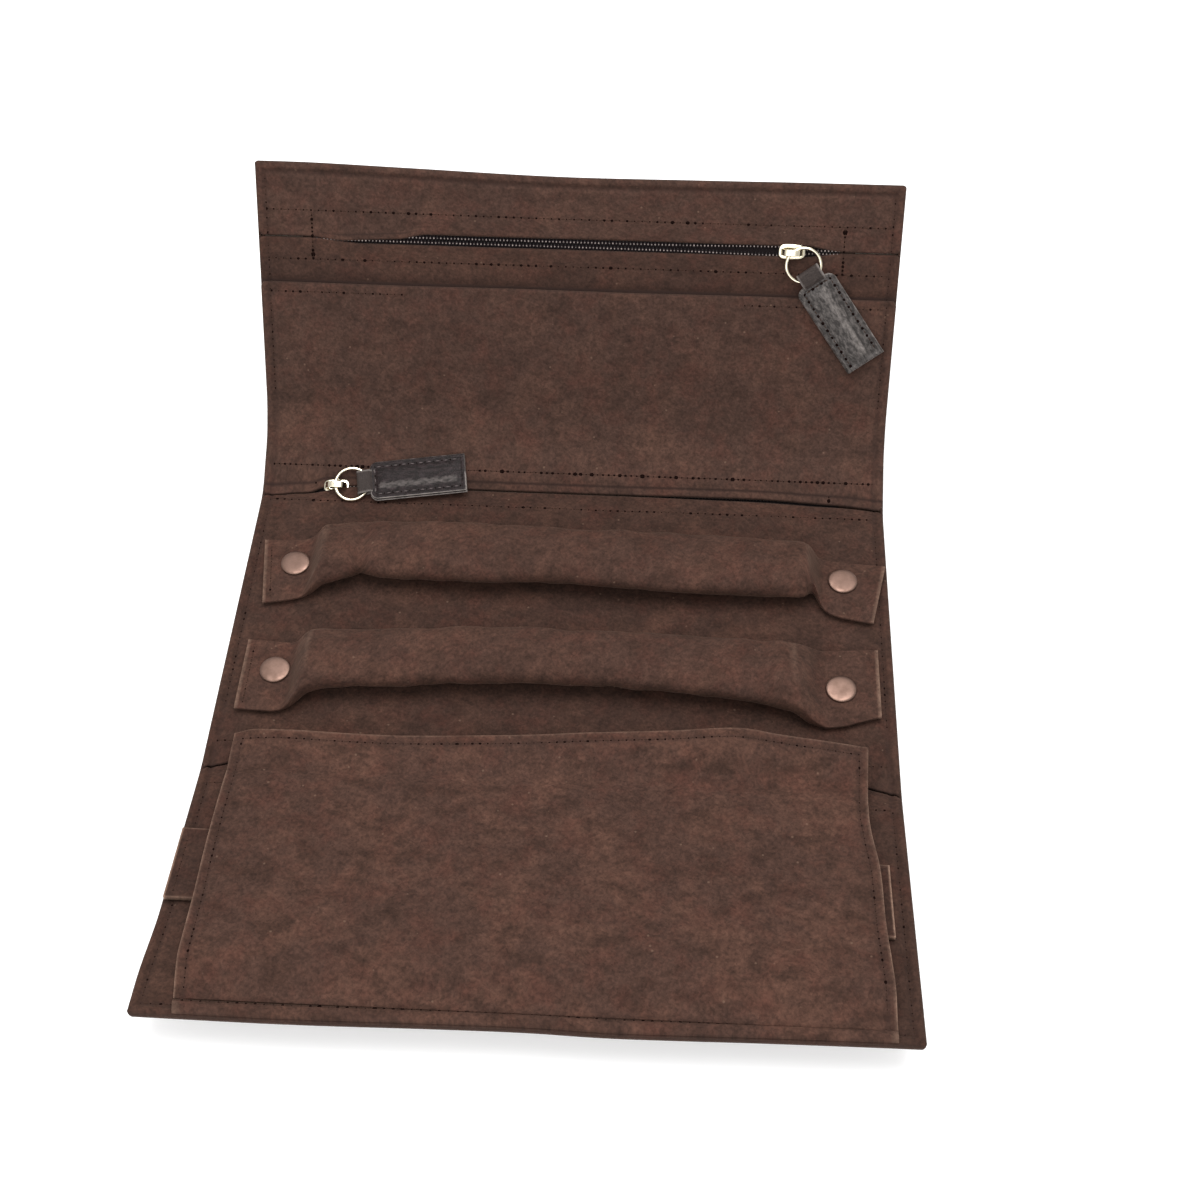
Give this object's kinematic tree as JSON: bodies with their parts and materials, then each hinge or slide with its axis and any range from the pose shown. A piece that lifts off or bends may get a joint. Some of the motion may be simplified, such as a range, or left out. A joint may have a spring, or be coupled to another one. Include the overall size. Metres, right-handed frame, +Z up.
{
  "type": "jewelry roll",
  "caption": "Open tri-fold suede jewelry roll with zip pockets on leather pulls, padded snap bars, a slip pocket and a stitched flap over a band.",
  "frame": {"origin": "centre of the middle panel's underside, which rests on the table", "axes": "+X along the fold lines, +Y from the flap side towards the upper panel, +Z up out of the lining"},
  "size_m": [0.265, 0.3317, 0.1123],
  "materials": {
    "suede_cover": "matte brown faux suede",
    "suede_lining": "matte brown faux suede, napped",
    "suede_bar": "matte brown faux suede, napped",
    "suede_flap": "matte brown faux suede, mottled nap",
    "board": "plain grey board",
    "pocket_satin": "thin dark lining satin",
    "zip_tape": "woven tape with nylon coil",
    "nickel": "polished warm nickel",
    "copper_snap": "satin antique copper",
    "pull_leather": "glossy dark brown grained leather"
  },
  "bodies": {
    "middle_panel": {"middle_cover": "suede_cover", "middle_board": "board", "middle_lining": "suede_lining", "zip_2_bag": "pocket_satin", "bar_1_left_tab": "suede_bar", "bar_1_left_cap": "copper_snap", "bar_1_left_stud": "copper_snap", "bar_1_right_stud": "copper_snap", "bar_2_left_tab": "suede_bar", "bar_2_left_cap": "copper_snap", "bar_2_left_stud": "copper_snap", "bar_2_right_stud": "copper_snap"},
    "bar_1": {"bar_1": "suede_bar", "bar_1_right_cap": "copper_snap"},
    "bar_2": {"bar_2": "suede_bar", "bar_2_right_cap": "copper_snap"},
    "lower_spine": {"lower_spine_cover": "suede_cover", "lower_spine_lining": "suede_lining", "zip_3_chain": "zip_tape"},
    "lower_panel": {"lower_cover": "suede_cover", "lower_board": "board", "lower_lining": "suede_lining", "zip_3_bag": "pocket_satin", "band_left_tab": "suede_bar", "band_left_cap": "copper_snap", "band_left_stud": "copper_snap", "band_right_stud": "copper_snap"},
    "band": {"band": "suede_bar", "band_right_cap": "copper_snap"},
    "flap": {"flap": "suede_flap"},
    "flap_tip": {"flap_tip": "suede_flap"},
    "upper_spine": {"upper_spine_cover": "suede_cover", "upper_spine_lining": "suede_lining", "zip_2_chain": "zip_tape"},
    "upper_panel": {"upper_cover": "suede_cover", "upper_board": "board", "upper_lining_top": "suede_lining", "upper_zip_facing": "suede_lining", "slip_pocket": "suede_lining", "zip_1_chain": "zip_tape", "zip_1_bag": "pocket_satin"},
    "slider_1": {"slider_1": "nickel"},
    "ring_1": {"ring_1": "nickel"},
    "pull_1": {"pull_loop_1": "pull_leather", "pull_tab_1": "pull_leather"},
    "slider_2": {"slider_2": "nickel"},
    "ring_2": {"ring_2": "nickel"},
    "pull_2": {"pull_loop_2": "pull_leather", "pull_tab_2": "pull_leather"},
    "slider_3": {"slider_3": "nickel"},
    "ring_3": {"ring_3": "nickel"},
    "pull_3": {"pull_loop_3": "pull_leather", "pull_tab_3": "pull_leather"}
  },
  "joints": [
    {"name": "lower_fold", "type": "hinge", "parent": "middle_panel", "child": "lower_spine", "pos_m": [0, -0.05675, 0.0049], "axis": [1, 0, 0], "range_deg": [-90, 0]},
    {"name": "lower_crease", "type": "hinge", "parent": "lower_spine", "child": "lower_panel", "pos_m": [0, -0.08075, 0.0049], "axis": [1, 0, 0], "range_deg": [-81, 9]},
    {"name": "upper_fold", "type": "hinge", "parent": "middle_panel", "child": "upper_spine", "pos_m": [0, 0.05675, 0.0049], "axis": [-1, 0, 0], "range_deg": [-62.5, 27.5]},
    {"name": "upper_crease", "type": "hinge", "parent": "upper_spine", "child": "upper_panel", "pos_m": [0, 0.08513, 0.01968], "axis": [-1, 0, 0], "range_deg": [-55.5, 31.5]},
    {"name": "flap_open", "type": "hinge", "parent": "lower_panel", "child": "flap", "pos_m": [0, -0.18183, 0.02192], "axis": [1, 0, 0], "range_deg": [0, 160]},
    {"name": "flap_tip_bend", "type": "hinge", "parent": "flap", "child": "flap_tip", "pos_m": [0, -0.08496, 0.01154], "axis": [1, 0, 0], "range_deg": [-8.6, 76]},
    {"name": "bar_1_lift", "type": "hinge", "parent": "middle_panel", "child": "bar_1", "pos_m": [-0.104, 0.0145, 0.00815], "axis": [0, -1, 0], "range_deg": [0, 100]},
    {"name": "bar_2_lift", "type": "hinge", "parent": "middle_panel", "child": "bar_2", "pos_m": [-0.104, -0.035, 0.00815], "axis": [0, -1, 0], "range_deg": [0, 100]},
    {"name": "band_lift", "type": "hinge", "parent": "lower_panel", "child": "band", "pos_m": [-0.104, -0.12765, 0.01562], "axis": [0, -0.9877, 0.1564], "range_deg": [0, 26]},
    {"name": "zip_1_slide", "type": "slide", "parent": "upper_panel", "child": "slider_1", "axis": [1, 0, 0], "range_m": [-0.188, 0]},
    {"name": "ring_1_lift", "type": "hinge", "parent": "slider_1", "child": "ring_1", "pos_m": [0.088, 0.12389, 0.08855], "axis": [-0.7071, -0.3642, -0.6061], "range_deg": [0, 150]},
    {"name": "pull_1_swing", "type": "hinge", "parent": "ring_1", "child": "pull_1", "pos_m": [0.09652, 0.11882, 0.08011], "axis": [-0.809, -0.3027, -0.5038], "range_deg": [0, 20]},
    {"name": "zip_2_slide", "type": "slide", "parent": "upper_spine", "child": "slider_2", "axis": [-1, 0, 0], "range_m": [-0.2, 0]},
    {"name": "ring_2_lift", "type": "hinge", "parent": "slider_2", "child": "ring_2", "pos_m": [-0.1, 0.06103, 0.00967], "axis": [0.2924, -0.8483, -0.4416], "range_deg": [0, 150]},
    {"name": "pull_2_swing", "type": "hinge", "parent": "ring_2", "child": "pull_2", "pos_m": [-0.08731, 0.0636, 0.011], "axis": [0.1392, -0.8784, -0.4573], "range_deg": [0, 20]},
    {"name": "zip_3_slide", "type": "slide", "parent": "lower_spine", "child": "slider_3", "axis": [1, 0, 0], "range_m": [-0.15, 0]},
    {"name": "ring_3_lift", "type": "hinge", "parent": "slider_3", "child": "ring_3", "pos_m": [0.051, -0.07475, 0.00715], "axis": [0.3746, -0.9272, 0], "range_deg": [0, 100]},
    {"name": "pull_3_swing", "type": "hinge", "parent": "ring_3", "child": "pull_3", "pos_m": [0.06354, -0.0719, 0.00715], "axis": [0.0349, -0.9994, 0], "range_deg": [0, 20]}
  ],
  "couplings": [
    {"joint": "flap_tip_bend", "follows": "lower_crease", "ratio": -0.9},
    {"joint": "band_lift", "follows": "flap_open", "ratio": 0.15},
    {"joint": "ring_3_lift", "follows": "flap_open", "ratio": 0.62},
    {"joint": "pull_3_swing", "follows": "flap_open", "ratio": 0.12},
    {"joint": "pull_1_swing", "follows": "ring_1_lift", "ratio": 0.13},
    {"joint": "pull_2_swing", "follows": "ring_2_lift", "ratio": 0.13}
  ]
}
